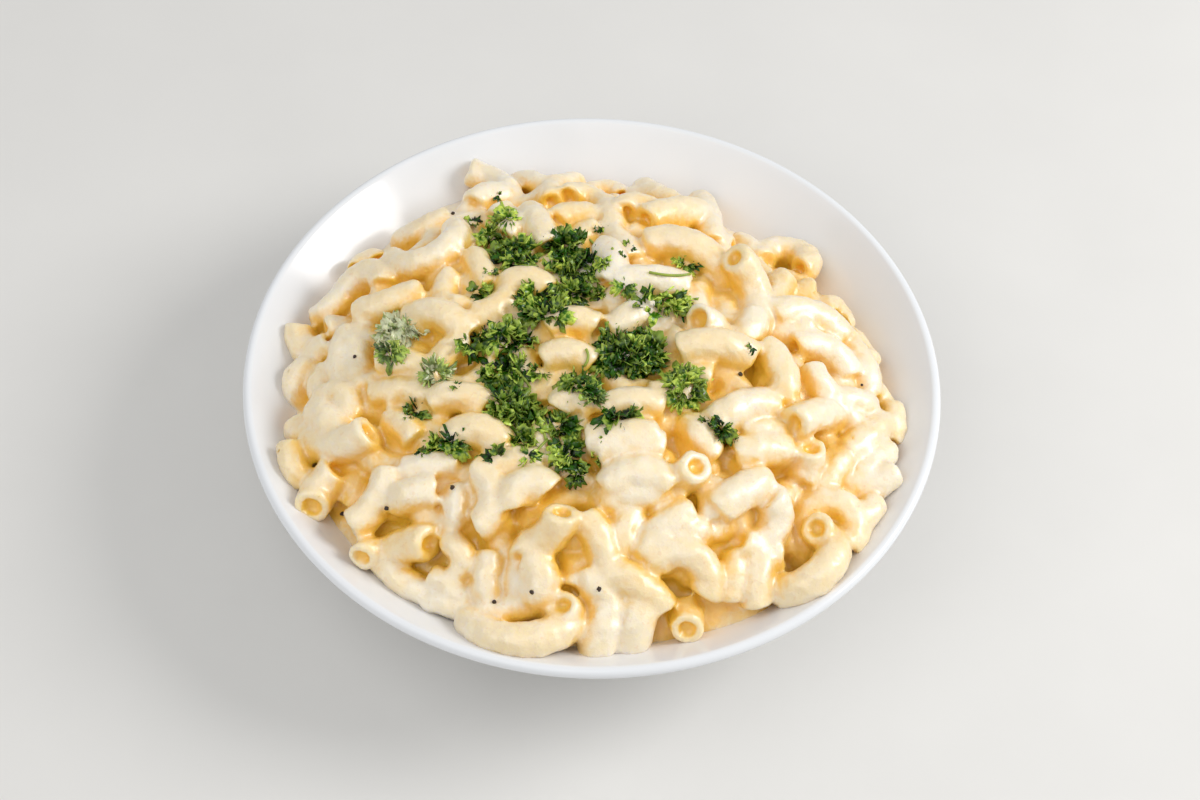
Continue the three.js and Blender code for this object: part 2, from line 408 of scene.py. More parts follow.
# The elbows that show. Each row is one end, the bend and the other end across and down the camera's
# view, then how high these three stand over the sauce bed and the radius, in mm.
elbowViews = [
    # left, with an open end to the camera
    ((384, 287), (367, 276), (346, 300), (6, 7, 4), 4.8),
    ((378, 362), (406, 364), (438, 380), (9, 7, 3), 4.6),
    ((370, 431), (336, 446), (300, 425), (13, 9, 5), 5.3),
    ((290, 447), (292, 462), (305, 480), (7, 6, 4), 4.0),
    ((312, 508), (321, 490), (338, 468), (5, 9, 8), 5.2),
    ((350, 527), (373, 508), (390, 468), (12, 8, 7), 4.8),
    ((430, 544), (408, 545), (384, 560), (11, 6, 3), 5.2),
    ((361, 558), (378, 552), (402, 566), (7, 6, 3), 4.2),
    # front, with an open end to the camera
    ((562, 511), (554, 530), (522, 548), (17, 11, 6), 5.2),
    ((561, 606), (566, 614), (571, 624), (15, 9, 4), 4.7),
    ((573, 620), (530, 640), (470, 620), (6, 7, 4), 5.0),
    ((687, 630), (686, 616), (684, 600), (7, 3, -1), 4.7),
    ((697, 466), (684, 477), (664, 492), (17, 8, 3), 4.9),
    # right, with an open end to the camera
    ((770, 496), (777, 520), (738, 542), (13, 9, 6), 4.8),
    ((816, 528), (822, 536), (826, 548), (18, 11, 5), 4.8),
    ((826, 542), (821, 574), (781, 592), (8, 8, 5), 5.0),
    ((811, 447), (808, 462), (800, 482), (14, 8, 3), 4.5),
    ((794, 424), (811, 421), (832, 418), (15, 8, 3), 4.9),
    ((799, 270), (790, 252), (764, 264), (8, 8, 1), 4.7),
    ((734, 257), (752, 285), (750, 328), (20, 10, 6), 5.2),
    ((698, 320), (711, 327), (720, 346), (11, 7, 4), 4.8),
    ((829, 316), (834, 309), (840, 326), (5, 5, 3), 3.8),
    # far, with an open end to the camera
    ((473, 205), (492, 196), (516, 202), (8, 7, 1), 4.5),
    ((567, 199), (583, 198), (600, 212), (9, 8, 5), 4.5),
    ((551, 203), (556, 188), (578, 184), (7, 7, 5), 4.0),
    ((624, 213), (640, 208), (662, 222), (9, 8, 4), 4.6),
    # left
    ((301, 325), (303, 344), (334, 344), (5, 5, 4), 5.0),
    ((318, 318), (334, 306), (350, 290), (4, 6, 4), 4.0),
    ((360, 314), (394, 303), (422, 293), (6, 7, 5), 4.8),
    ((352, 333), (341, 358), (348, 386), (4, 6, 4), 4.2),
    ((366, 330), (358, 360), (366, 392), (2, 4, 2), 4.6),
    ((412, 322), (442, 316), (467, 336), (5, 9, 5), 5.0),
    ((456, 275), (445, 291), (446, 310), (6, 5, 4), 4.2),
    ((474, 318), (499, 308), (508, 286), (5, 5, 3), 4.6),
    ((440, 367), (448, 352), (466, 347), (4, 6, 4), 4.3),
    ((374, 398), (404, 392), (432, 396), (4, 5, 4), 4.4),
    ((313, 370), (297, 381), (303, 398), (2, 6, -1), 4.4),
    ((330, 372), (322, 388), (330, 402), (3, 4, 3), 4.4),
    ((322, 404), (347, 398), (343, 427), (7, 7, 5), 4.2),
    ((318, 413), (332, 428), (346, 450), (7, 7, 6), 5.0),
    ((380, 504), (388, 491), (397, 480), (4, 6, 4), 3.8),
    ((390, 420), (405, 428), (418, 441), (2, 4, 4), 4.4),
    ((405, 470), (432, 466), (458, 465), (4, 5, 3), 4.2),
    ((434, 491), (414, 494), (397, 504), (6, 8, 5), 4.9),
    ((446, 545), (461, 552), (457, 572), (5, 6, 4), 3.8),
    ((434, 578), (450, 586), (466, 602), (4, 5, 3), 4.0),
    ((384, 562), (402, 580), (428, 592), (3, 4, 3), 4.2),
    ((427, 600), (446, 605), (468, 611), (3, 3, 2), 3.8),
    ((491, 556), (486, 577), (489, 604), (4, 7, 4), 3.9),
    ((476, 528), (494, 503), (474, 469), (8, 8, 7), 4.9),
    ((462, 490), (456, 508), (457, 527), (4, 6, 4), 3.6),
    ((452, 441), (478, 431), (500, 446), (5, 7, 5), 5.2),
    ((432, 404), (460, 397), (487, 408), (5, 7, 5), 4.6),
    # front
    ((514, 510), (522, 489), (548, 492), (8, 10, 8), 5.6),
    ((584, 518), (600, 541), (605, 570), (9, 9, 6), 4.6),
    ((531, 560), (541, 576), (533, 598), (7, 9, 6), 5.3),
    ((607, 572), (638, 584), (662, 608), (8, 10, 6), 4.8),
    ((642, 598), (636, 622), (630, 650), (5, 8, -3), 5.4),
    ((610, 600), (604, 628), (594, 655), (4, 8, -3), 5.2),
    ((588, 574), (600, 590), (618, 600), (6, 8, 5), 4.6),
    ((503, 612), (525, 606), (546, 604), (4, 5, 3), 4.4),
    ((632, 513), (622, 535), (617, 560), (5, 6, 3), 4.5),
    ((690, 512), (668, 526), (645, 558), (6, 8, 5), 5.2),
    ((608, 490), (640, 474), (668, 487), (8, 11, 8), 5.4),
    ((604, 502), (634, 499), (665, 496), (6, 6, 5), 4.4),
    ((588, 441), (626, 437), (655, 437), (7, 10, 8), 5.2),
    ((598, 452), (634, 446), (663, 448), (7, 9, 7), 5.0),
    # right, near
    ((713, 484), (711, 500), (710, 518), (5, 6, 4), 3.8),
    ((765, 484), (742, 492), (716, 511), (8, 10, 7), 5.3),
    ((768, 552), (757, 577), (757, 606), (5, 6, 4), 4.4),
    ((738, 554), (733, 577), (730, 600), (3, 4, 2), 4.0),
    ((806, 540), (828, 503), (847, 546), (3, 7, 3), 4.9),
    ((783, 540), (796, 550), (806, 562), (0, 1, 0), 4.4),
    ((888, 452), (869, 470), (851, 489), (5, 6, 5), 4.2),
    ((896, 472), (879, 486), (860, 500), (5, 5, 4), 4.2),
    ((876, 504), (865, 519), (853, 536), (4, 4, 3), 4.0),
    ((882, 424), (866, 438), (846, 456), (6, 8, 6), 4.8),
    ((734, 456), (758, 451), (784, 450), (6, 8, 6), 5.2),
    ((846, 458), (836, 470), (822, 486), (4, 5, 4), 4.2),
    ((652, 566), (697, 559), (703, 596), (7, 9, 6), 4.9),
    ((702, 529), (681, 540), (656, 552), (4, 5, 4), 4.4),
    # right, far
    ((786, 279), (777, 290), (774, 312), (8, 5, 3), 4.4),
    ((800, 290), (804, 300), (812, 312), (2, 3, 2), 3.6),
    ((752, 318), (748, 334), (735, 344), (6, 6, 4), 5.0),
    ((648, 245), (696, 249), (727, 287), (5, 10, 2), 5.2),
    ((645, 222), (670, 214), (700, 216), (8, 10, 7), 5.2),
    ((645, 192), (662, 201), (684, 212), (5, 7, 6), 4.6),
    ((700, 203), (708, 222), (712, 245), (5, 6, 3), 4.4),
    ((680, 351), (716, 346), (750, 358), (8, 11, 8), 5.3),
    ((762, 350), (782, 374), (781, 402), (7, 9, 7), 5.0),
    ((772, 318), (808, 316), (840, 340), (6, 9, 6), 5.4),
    ((793, 348), (825, 350), (848, 378), (5, 7, 5), 4.8),
    ((848, 350), (863, 370), (866, 396), (4, 6, 4), 4.7),
    ((811, 370), (819, 384), (834, 402), (8, 9, 6), 4.2),
    ((848, 338), (854, 342), (850, 356), (3, 3, 2), 3.8),
    ((850, 358), (862, 358), (872, 364), (2, 3, 2), 4.0),
    ((890, 410), (893, 420), (888, 440), (4, 4, 3), 4.2),
    ((835, 404), (850, 402), (868, 412), (6, 7, 5), 4.6),
    ((714, 426), (741, 408), (772, 408), (7, 9, 6), 5.2),
    ((744, 438), (762, 432), (780, 440), (5, 6, 5), 4.6),
    ((784, 398), (788, 408), (795, 416), (5, 6, 5), 4.0),
    ((840, 411), (850, 420), (863, 429), (4, 5, 4), 4.2),
    ((868, 388), (877, 398), (884, 408), (1, 3, 2), 4.0),
    ((481, 602), (490, 611), (503, 622), (2, 5, 2), 4.2),
    ((838, 482), (848, 488), (860, 496), (2, 4, 2), 4.0),
    ((680, 386), (700, 377), (712, 378), (6, 6, 6), 4.2),
    ((648, 396), (668, 398), (690, 405), (4, 5, 3), 4.4),
    ((604, 410), (628, 404), (660, 408), (6, 8, 5), 4.8),
    ((690, 425), (700, 440), (712, 456), (3, 5, 4), 4.6),
    # far
    ((468, 171), (486, 179), (508, 193), (4, 9, 6), 4.6),
    ((516, 186), (535, 188), (552, 197), (4, 5, 4), 3.8),
    ((588, 197), (604, 191), (622, 198), (3, 5, 3), 3.7),
    ((600, 206), (610, 214), (613, 230), (5, 7, 5), 4.2),
    ((530, 214), (541, 229), (549, 246), (5, 7, 5), 4.5),
    ((505, 238), (515, 228), (528, 220), (5, 5, 3), 4.2),
    ((474, 257), (481, 270), (489, 287), (6, 7, 4), 4.0),
    ((600, 250), (614, 262), (606, 284), (7, 9, 6), 4.6),
    ((614, 286), (650, 281), (686, 290), (6, 9, 6), 5.0),
    ((646, 306), (630, 318), (612, 330), (6, 6, 3), 4.6),
    ((396, 259), (440, 255), (453, 230), (7, 10, 8), 4.6),
    ((403, 243), (424, 231), (449, 219), (0, 6, 5), 4.2),
    ((358, 271), (367, 262), (379, 263), (3, 4, 3), 3.8),
    ((556, 222), (575, 216), (598, 222), (5, 6, 4), 4.6),
    ((605, 232), (622, 245), (632, 262), (3, 4, 3), 4.2),
    # middle, under the parsley
    ((548, 330), (570, 322), (594, 328), (6, 8, 5), 4.8),
    ((508, 287), (526, 281), (546, 292), (6, 8, 5), 4.6),
    ((545, 360), (568, 355), (590, 365), (5, 7, 4), 4.8),
    ((490, 468), (515, 463), (540, 468), (5, 6, 4), 4.8),
    ((560, 408), (575, 400), (590, 412), (5, 7, 4), 4.8),
]


def bedEdge(angle):
    # how far out the bed reaches on the side that faces an angle
    edge = heapSettings["edgeRadius"]
    for side, spread, depth in hollows:
        turn = math.remainder(angle - side, 2 * math.pi)
        edge -= depth * math.exp(-((turn / spread) ** 2))
    return edge


def domeHeight(x, y):
    # the sauce bed's dome, which runs on down into the wall outside its edge
    s = heapSettings
    edge = bedEdge(math.atan2(y, x))
    share = math.hypot(x, y) / edge
    fade = max(0, 1 - share ** s["unevenFade"])
    uneven = s["unevenness"] * noise.noise(Vector((x, y, 0)) / s["unevenSize"]) * fade
    return s["crown"] + (wallHeight(edge) - s["crown"]) * share ** s["fullness"] + uneven


def bedHeight(x, y):
    # the sauce bed inside its edge, and the bowl's wall outside it
    return max(domeHeight(x, y), wallHeight(math.hypot(x, y)))


def overBed(across, down, listed):
    # the point that the camera sees at a place of its view, at a listed height over the bed
    s = elbowSettings
    lift = listed * s["sink"] * mm + s["raised"]
    eye = eyePoint()
    sight = sightLine(across, down)
    height = heapSettings["crown"]
    for _ in range(s["settleSteps"]):
        point = eye + sight * ((height - eye.z) / sight.z)
        height += s["settleShare"] * (bedHeight(point.x, point.y) + lift - height)
    return point


def arcOf(first, middle, last):
    # centre and axis of the circle through three points, with the angle from first to last
    leastBend = elbowSettings["leastBend"]
    a = first - last
    b = middle - last
    normal = a.cross(b)
    if normal.length < leastBend * a.length * b.length:
        middle = middle + Vector((0, 0, leastBend * a.length))
        b = middle - last
        normal = a.cross(b)
    toCentre = (b * a.length_squared - a * b.length_squared).cross(normal)
    centre = last + toCentre / (2 * normal.length_squared)
    axis = (first - centre).cross(middle - centre).normalized()
    start = first - centre
    end = last - centre
    angle = math.atan2(start.cross(end).dot(axis), start.dot(end)) % (2 * math.pi)
    return centre, axis, angle


def keptInBowl(point):
    # a vertex no lower than just under the face of the bowl's wall
    floor = wallHeight(math.hypot(point.x, point.y)) - heapSettings["tuck"]
    return Vector((point.x, point.y, max(point.z, floor)))


def spunTube(first, middle, last, radius, sides, steps):
    # a closed round tube along the arc through three points
    centre, axis, angle = arcOf(first, middle, last)
    outward = (first - centre).normalized()
    place = Matrix((outward, axis, outward.cross(axis))).transposed().to_4x4()
    place.translation = first
    bm = bmesh.new()
    bmesh.ops.create_circle(bm, cap_ends=True, segments=sides, radius=radius, matrix=place)
    bmesh.ops.spin(
        bm,
        geom=bm.verts[:] + bm.edges[:] + bm.faces[:],
        cent=centre,
        axis=axis,
        angle=angle,
        steps=steps,
    )
    bmesh.ops.recalc_face_normals(bm, faces=bm.faces)
    return bm


def addElbow(heap, arc, radius, mouths):
    # a piece of macaroni along an arc, open at both ends as far as a plug of sauce
    s = elbowSettings
    bm = spunTube(*arc, radius, s["sectionSides"], s["arcSteps"])
    rims = {edge for face in bm.faces if len(face.verts) > 4 for edge in face.edges}
    bmesh.ops.bevel(
        bm,
        geom=list(rims),
        offset=radius * s["rounding"],
        segments=2,
        profile=0.5,
        affect="EDGES",
        clamp_overlap=True,
        material=-1,
    )
    ends = [face for face in bm.faces if len(face.verts) > 4]
    bmesh.ops.inset_individual(bm, faces=ends, thickness=radius * (1 - s["bore"] - s["rounding"]))
    bmesh.ops.inset_individual(bm, faces=ends, thickness=s["taper"] * radius, depth=-s["recess"])
    mouths += [(end.calc_center_median(), radius * s["bore"]) for end in ends]
    for vertex in bm.verts:
        vertex.co = keptInBowl(vertex.co)
    addTo(heap, bm)


def addTo(whole, bm):
    # a small bmesh's faces into a larger one
    mesh = bpy.data.meshes.new("part")
    bm.to_mesh(mesh)
    bm.free()
    whole.from_mesh(mesh)
    bpy.data.meshes.remove(mesh)


def addBed(heap):
    # the sauce between and under the elbows: the bowl's inner face below, a dome above
    s = heapSettings
    reach = s["edgeRadius"] + s["tuck"]
    wall = [p for p in wallProfile(-s["tuck"]) if p.x < reach]
    dome = [Vector((reach * i / s["rings"], bowlHeight)) for i in range(s["rings"] + 1)]
    bm = spinProfile(dome + wall, s["sides"])
    for vertex in bm.verts:
        x, y, z = vertex.co
        share = (bedEdge(math.atan2(y, x)) + s["tuck"]) / reach
        x, y = x * share, y * share
        if z == bowlHeight:
            z = domeHeight(x, y)
        else:
            z = wallHeight(math.hypot(x, y)) - 2 * s["tuck"]
        vertex.co = (x, y, z)
    addTo(heap, bm)


def spiralPlace(i, count):
    # the distance from the middle, 0 to 1, and the angle of a place on a spiral of even spacing
    return math.sqrt((i + 0.5) / count), i * math.pi * (3 - math.sqrt(5))


def addFillers(heap, mouths):
    # elbows at every angle in the gaps
    s = elbowSettings
    chance = random.Random(s["seed"])
    for i in range(s["fillers"]):
        share, angle = spiralPlace(i, s["fillers"])
        radius = (heapSettings["edgeRadius"] - s["fillerInset"]) * share
        x = radius * math.cos(angle)
        y = radius * math.sin(angle)
        middle = Vector((x, y, bedHeight(x, y) + chance.uniform(*s["fillerLift"])))
        heading = chance.uniform(0, 2 * math.pi)
        tip = chance.uniform(*s["fillerTip"])
        along = Vector((math.cos(heading), math.sin(heading), 0))
        flat = math.cos(tip)
        aside = Vector((-math.sin(heading) * flat, math.cos(heading) * flat, -math.sin(tip)))
        half = s["fillerArc"] * chance.uniform(*s["fillerArcRange"]) / 2
        reach = along * (s["fillerBend"] * math.sin(half))
        sag = aside * (s["fillerBend"] * (1 - math.cos(half)))
        ends = (middle - reach + sag, middle + reach + sag)
        if all(end.xy.length < bedEdge(math.atan2(end.y, end.x)) - s["fillerClear"] for end in ends):
            addElbow(heap, (ends[0], middle, ends[1]), s["fillerRadius"], mouths)


def shaped(bm, name, steps):
    # the mesh that modifiers make of a bmesh
    mesh = bpy.data.meshes.new(name)
    bm.to_mesh(mesh)
    bm.free()
    holder = bpy.data.objects.new(name, mesh)
    bpy.context.collection.objects.link(holder)
    for kind, settings in steps:
        modifier = holder.modifiers.new(kind, kind)
        for setting, value in settings.items():
            setattr(modifier, setting, value)
    live = holder.evaluated_get(bpy.context.evaluated_depsgraph_get())
    made = bmesh.new()
    made.from_mesh(live.to_mesh())
    live.to_mesh_clear()
    bpy.data.objects.remove(holder)
    bpy.data.meshes.remove(mesh)
    return made


def closedUp(bm):
    # one skin over everything, with sauce bridging the creases
    s = heapSettings
    remesh = ("REMESH", {"mode": "VOXEL", "voxel_size": s["voxel"]})
    swell = ("DISPLACE", {"direction": "NORMAL", "mid_level": 0.0, "strength": s["fillet"]})
    shrink = ("DISPLACE", {"direction": "NORMAL", "mid_level": 0.0, "strength": -s["fillet"]})
    soften = ("SMOOTH", {"factor": 0.5, "iterations": s["softening"]})
    whole = shaped(bm, "skin", [remesh, swell, remesh, shrink, remesh, soften])
    whole.normal_update()
    for vertex in whole.verts:
        height = sum(
            depth * noise.noise(vertex.co / size) for depth, size in zip(s["relief"], s["reliefSize"])
        )
        vertex.co += vertex.normal * height
    share = s["triangles"] / (2 * len(whole.faces))
    return shaped(whole, "skin", [("DECIMATE", {"ratio": min(1.0, share)})])


opennessSettings = {
    "rays": 20,
    "reach": 11 * mm,
    "clearance": 0.12 * mm,
    "seed": 3,
}


def addAttribute(mesh, name, values):
    mesh.attributes.new(name, "FLOAT", "POINT").data.foreach_set("value", values)


def addOpenness(piece):
    # how much of the sky each vertex sees, 0 to 1, from rays that end within reach; the cheese's painted
    # shade and highlight follow it
    s = opennessSettings
    mesh = piece.data
    tree = BVHTree.FromPolygons([v.co for v in mesh.vertices], [p.vertices for p in mesh.polygons])
    chance = random.Random(s["seed"])
    rays = []
    for i in range(s["rays"]):  # evenly over a disc, lifted to the hemisphere
        radius, angle = spiralPlace(i, s["rays"])
        rays.append((radius * math.cos(angle), radius * math.sin(angle), math.sqrt(1 - radius * radius)))
    values = []
    for vertex in mesh.vertices:
        up = vertex.normal
        side = up.orthogonal().normalized()
        side.rotate(Matrix.Rotation(chance.uniform(0, 2 * math.pi), 3, up))
        across = up.cross(side)
        start = vertex.co + up * s["clearance"]
        seen = 0
        for x, y, z in rays:
            if tree.ray_cast(start, side * x + across * y + up * z, s["reach"])[0] is None:
                seen += 1
        values.append(seen / len(rays))
    addAttribute(mesh, "openness", values)


toneSettings = {
    "elbows": 3,  # how many of the nearest ones share in a vertex's tone
    "blur": 0.5 * mm,
    "mouthEdge": 1.35,  # where a mouth's gold ends, as a share of its bore
    "mouthFade": 0.4,
}


def treeOf(places):
    tree = KDTree(len(places))
    for i, place in enumerate(places):
        tree.insert(place, i)
    tree.balance()
    return tree


def addTone(piece, middles):
    # how pale each vertex is, as the elbows nearest to it are
    chance = random.Random(elbowSettings["seed"])
    tree = treeOf(middles)
    tones = [chance.random() for _ in middles]
    values = []
    for vertex in piece.data.vertices:
        near = tree.find_n(vertex.co, toneSettings["elbows"])
        weights = [1 / (distance + toneSettings["blur"]) ** 2 for place, i, distance in near]
        shade = sum(weight * tones[found[1]] for weight, found in zip(weights, near)) / sum(weights)
        values.append(shade)
    addAttribute(piece.data, "tone", values)


def addHollow(piece, mouths):
    # 1 inside an elbow's mouth, fading to 0 at its rim
    s = toneSettings
    tree = treeOf([place for place, bore in mouths])
    values = []
    for vertex in piece.data.vertices:
        place, i, distance = tree.find(vertex.co)
        values.append(min(1, max(0, (s["mouthEdge"] - distance / mouths[i][1]) / s["mouthFade"])))
    addAttribute(piece.data, "hollow", values)


cheeseSettings = {
    # painted shade and highlight: from a deep gold where shade falls in the folds to pale straw on the open
    # crests
    "shadedToLitStraw": [  # from down in a fold, 0, to what stands clear, 1
        (0.05, "#edc93e"),
        (0.25, "#f1c645"),
        (0.45, "#f6c652"),
        (0.65, "#fbca66"),
        (0.93, "#ffe3b6"),
    ],
    "cream": "#fff5e8",
    "fleck": "#e8ab48",
    # painted shade: the deep gold inside the mouths
    "mouth": "#fcc840",
    "patchSize": 14 * mm,
    "streakSize": 3.2 * mm,
    "fleckSize": 1.6 * mm,
    "grainSize": 0.45 * mm,
    "bumpDepth": 0.55 * mm,
}


def cheesePaint():
    # painted shade and highlight: gold down in the folds and mouths, straw on what stands clear; cream
    # where the sauce is thick
    s = cheeseSettings
    paint = Paint("cheese macaroni")
    openness = paint.attribute("openness")
    tone = paint.attribute("tone")
    hollow = paint.attribute("hollow")
    patches = paint.noise(s["patchSize"], 3, 0.6)
    streaks = paint.noise(s["streakSize"], 3, 0.55)
    # painted shade in the folds and painted highlight on the crests, from the ray-cast openness
    depth = openness + 0.26 * (patches - 0.5) + 0.22 * (streaks - 0.5) + 0.2 * (tone - 0.5)
    shadedToLitStraw = paint.ramp(depth, s["shadedToLitStraw"])
    cream = paint.between(0.5 * patches + 0.5 * tone + 0.4 * (streaks - 0.5), 0.32, 0.8)
    # cream where the sauce is thick, kept to the open crests by openness squared as a painted highlight
    coat = paint.blend(0.7 * cream * openness**2, shadedToLitStraw, s["cream"])
    grain = paint.noise(s["grainSize"], 3, 0.6)
    flecks = paint.between(paint.noise(s["fleckSize"], 2), 0.62, 0.72)
    flecked = paint.blend(0.2 * flecks, coat, s["fleck"])
    # painted shade: a deep gold inside the elbows' mouths, fading out at their rims
    colour = paint.blend(0.9 * hollow, flecked, s["mouth"])
    relief = streaks + 0.2 * grain
    return paint.finish(
        {
            "Base Color": colour,
            "Roughness": 0.3 + 0.14 * patches + 0.08 * grain,
            "Subsurface Weight": 0.5,
            "Subsurface Radius": (1.0, 0.92, 0.4),
            "Subsurface Scale": 3.0 * mm,
            "IOR": 1.45,
            "Specular IOR Level": 0.35,
            "Coat Weight": 1.0,
            "Coat Roughness": 0.33,
            "Coat IOR": 1.75,
            "Normal": paint.bump(relief, s["bumpDepth"]),
        }
    )


def addMacaroni():
    heap = bmesh.new()
    addBed(heap)
    mouths = []
    middles = []
    addFillers(heap, mouths)
    for *places, lifts, radius in elbowViews:
        arc = [overBed(*place, lift) for place, lift in zip(places, lifts)]
        addElbow(heap, arc, radius * mm, mouths)
        middles.append(arc[1])
    piece = addPiece(closedUp(heap), "macaroni", cheesePaint(), "cheese_macaroni")
    addOpenness(piece)
    addTone(piece, middles)
    addHollow(piece, mouths)
    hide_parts("macaroni_heap")
    return piece


macaroni = addMacaroni()
report(f"macaroni is heaped, {len(macaroni.data.polygons)} faces")

parsleySettings = {
    "longest": (1.5 * mm, 6.4 * mm),  # the longest lobes, of a fleck and of a large tuft
    "shortest": 0.4,  # as a share of the longest
    "growth": 0.42 * mm,  # of the longest lobe, for each pixel of the tuft's half width
    "looseGrowth": 1.5,  # times that, in a tuft of few leaves, which fill it by themselves
    "denseTuft": 14,  # the leaves of a tuft that counts as full
    "inset": 0.35,  # of the leaves from the tuft's edge, as a share of the longest lobe
    "lobesPerLeaf": 4,
    "headingSpread": 1.1,  # in radians, from straight out of the tuft's middle
    "upright": 1.2,  # how far a leaf faces up, against the slope that it lies on
    "tilt": (math.radians(-10), math.radians(52)),
    "tiltShares": (1.1, 0.6),  # of the tilt in the tuft's middle, and how much less it is at the edge
    "rise": 2.4 * mm,  # how high the middle of a dense tuft piles up
    "sink": 0.2 * mm,
    "shadeSpread": 0.44,  # from leaf to leaf
    "spread": (math.radians(24), math.radians(62)),  # half of a lobe's fan
    "parts": (1.8, 3.4),  # how many teeth a lobe has
    "notch": (0.3, 0.65),  # how deep they are cut, as a share of the length
    "phase": (-0.8, 0.8),
    "curl": (-0.3, 0.6),
    "ruffle": (0.08, 0.24),
    "ruffles": 1.5,  # for each tooth
    "fold": (-0.3, 0.7),
    "shoulder": 0.3,  # how much shorter a lobe is at its sides, as a share of the length
    "stalk": 0.14,  # as a share of the length
    "thickness": 0.14 * mm,
    "acrossSteps": 10,
    "alongSteps": 2,
    "pixelsPerMm": 3.5,
    # painted shade and light: near-black greens for leaves in shade, pale yellow-greens for lit leaves
    "shadeGreens": ("#041400", "#326800"),
    "litGreens": ("#2c6004", "#d2e860"),
    "coatedGreen": "#b9c882",
    "sauce": "#ecebc8",
    "seed": 21,
}

# Tufts of parsley: the middle across and down the view, half the width and height there, how many
# leaves, how bright they are, partly their own tone and partly painted light and shade, and how much
# sauce is on them.
parsleyViews = [
    ((473, 222), (7, 7), 1, 0.1, 0.0),
    ((499, 196), (5, 7), 1, 0.7, 0.0),
    ((505, 218), (12, 8), 4, 0.8, 0.0),
    ((490, 238), (13, 9), 4, 1.0, 0.0),
    ((515, 255), (27, 17), 14, 0.4, 0.0),
    ((492, 272), (5, 4), 2, 0.5, 0.0),
    ((478, 292), (11, 7), 3, 0.5, 0.0),
    ((565, 245), (22, 13), 9, 0.3, 0.0),
    ((575, 270), (25, 19), 20, 0.2, 0.0),
    ((605, 262), (7, 6), 3, 0.9, 0.0),
    ((535, 300), (27, 17), 13, 0.4, 0.0),
    ((570, 295), (21, 14), 9, 0.3, 0.0),
    ((545, 315), (26, 13), 8, 0.4, 0.0),
    ((600, 293), (8, 6), 3, 0.4, 0.0),
    ((625, 286), (8, 9), 2, 0.8, 0.0),
    ((602, 226), (8, 2), 2, 0.4, 0.0),
    ((629, 246), (4, 5), 1, 0.1, 0.0),
    ((623, 258), (4, 5), 1, 0.1, 0.0),
    ((686, 265), (12, 6), 3, 0.5, 0.0),
    ((665, 303), (29, 17), 15, 0.8, 0.0),
    ((628, 355), (37, 28), 46, 0.12, 0.0),
    ((505, 340), (27, 17), 11, 0.3, 0.0),
    ((470, 342), (13, 12), 4, 0.2, 0.0),
    ((505, 375), (24, 21), 15, 0.3, 0.0),
    ((512, 410), (23, 19), 14, 0.4, 0.0),
    ((532, 420), (13, 16), 6, 0.7, 0.0),
    ((538, 372), (12, 5), 2, 0.2, 0.0),
    ((578, 385), (24, 12), 9, 0.3, 0.0),
    ((593, 397), (10, 8), 5, 0.5, 0.2),
    ((560, 427), (17, 12), 7, 0.4, 0.0),
    ((566, 455), (14, 17), 9, 0.4, 0.0),
    ((577, 474), (8, 8), 4, 0.3, 0.0),
    ((522, 443), (17, 7), 4, 0.5, 0.0),
    ((495, 457), (13, 4), 2, 0.3, 0.0),
    ((528, 457), (6, 9), 2, 0.5, 0.0),
    ((597, 458), (5, 6), 2, 0.7, 0.0),
    ((450, 445), (20, 13), 8, 0.4, 0.0),
    ((421, 453), (9, 4), 2, 0.3, 0.0),
    ((437, 375), (17, 13), 7, 0.6, 0.45),
    ((457, 385), (5, 4), 1, 0.4, 0.0),
    ((415, 412), (11, 9), 4, 0.2, 0.0),
    ((400, 333), (23, 18), 14, 0.6, 0.7),
    ((390, 354), (13, 7), 3, 0.6, 0.2),
    ((620, 419), (17, 7), 6, 0.2, 0.0),
    ((683, 388), (20, 22), 11, 0.8, 0.0),
    ((711, 421), (8, 5), 3, 0.2, 0.0),
    ((722, 428), (10, 9), 4, 0.1, 0.0),
    ((732, 437), (6, 6), 2, 0.1, 0.0),
    ((753, 346), (6, 4), 1, 0.9, 0.0),
    ((300, 322), (2, 2), 1, 0.6, 0.0),
    ((602, 439), (2, 2), 1, 0.5, 0.0),
]

stemSettings = {
    "radius": 0.4 * mm,
    "sides": 8,
    "steps": 8,
    "colours": ("#76942a", "#aeba4e"),
}

# Loose stems, each by one end, a place between and the other end.
stemViews = [
    ((649, 273), (668, 276), (690, 275)),
    ((498, 222), (494, 235), (486, 245)),
    ((676, 384), (688, 374), (705, 369)),
    ((680, 392), (693, 383), (708, 381)),
    ((540, 408), (545, 422), (552, 438)),
    ((548, 440), (540, 448), (531, 463)),
    ((580, 231), (592, 243), (612, 249)),
    ((586, 350), (588, 359), (584, 367)),
    ((513, 370), (523, 378), (530, 388)),
    ((530, 388), (525, 400), (516, 410)),
    ((541, 424), (544, 433), (546, 441)),
]

pepperSettings = {
    "radius": (0.38 * mm, 0.7 * mm),
    "jitter": 0.5,
    "lumps": 1.3,  # for each radius
    "apart": 1000,  # for each metre, so that no two specks have the same lumps
    "stand": 0.3,  # how high the middle lies over the sauce, as a share of the radius
    "colours": ("#1d1611", "#4a382a"),
    "seed": 5,
}

pepperViews = [
    (494, 602),
    (599, 589),
    (387, 508),
    (343, 514),
    (532, 592),
    (453, 488),
    (862, 385),
    (355, 357),
    (740, 375),
    (453, 214),
]


class Ground:
    # what the camera sees of the heap, to lay things on
    def __init__(self, piece):
        mesh = piece.data
        self.tree = BVHTree.FromPolygons([v.co for v in mesh.vertices], [p.vertices for p in mesh.polygons])

    def under(self, across, down):
        # the place and the slope under a point of the view
        return self.tree.ray_cast(eyePoint(), sightLine(across, down))[:2]


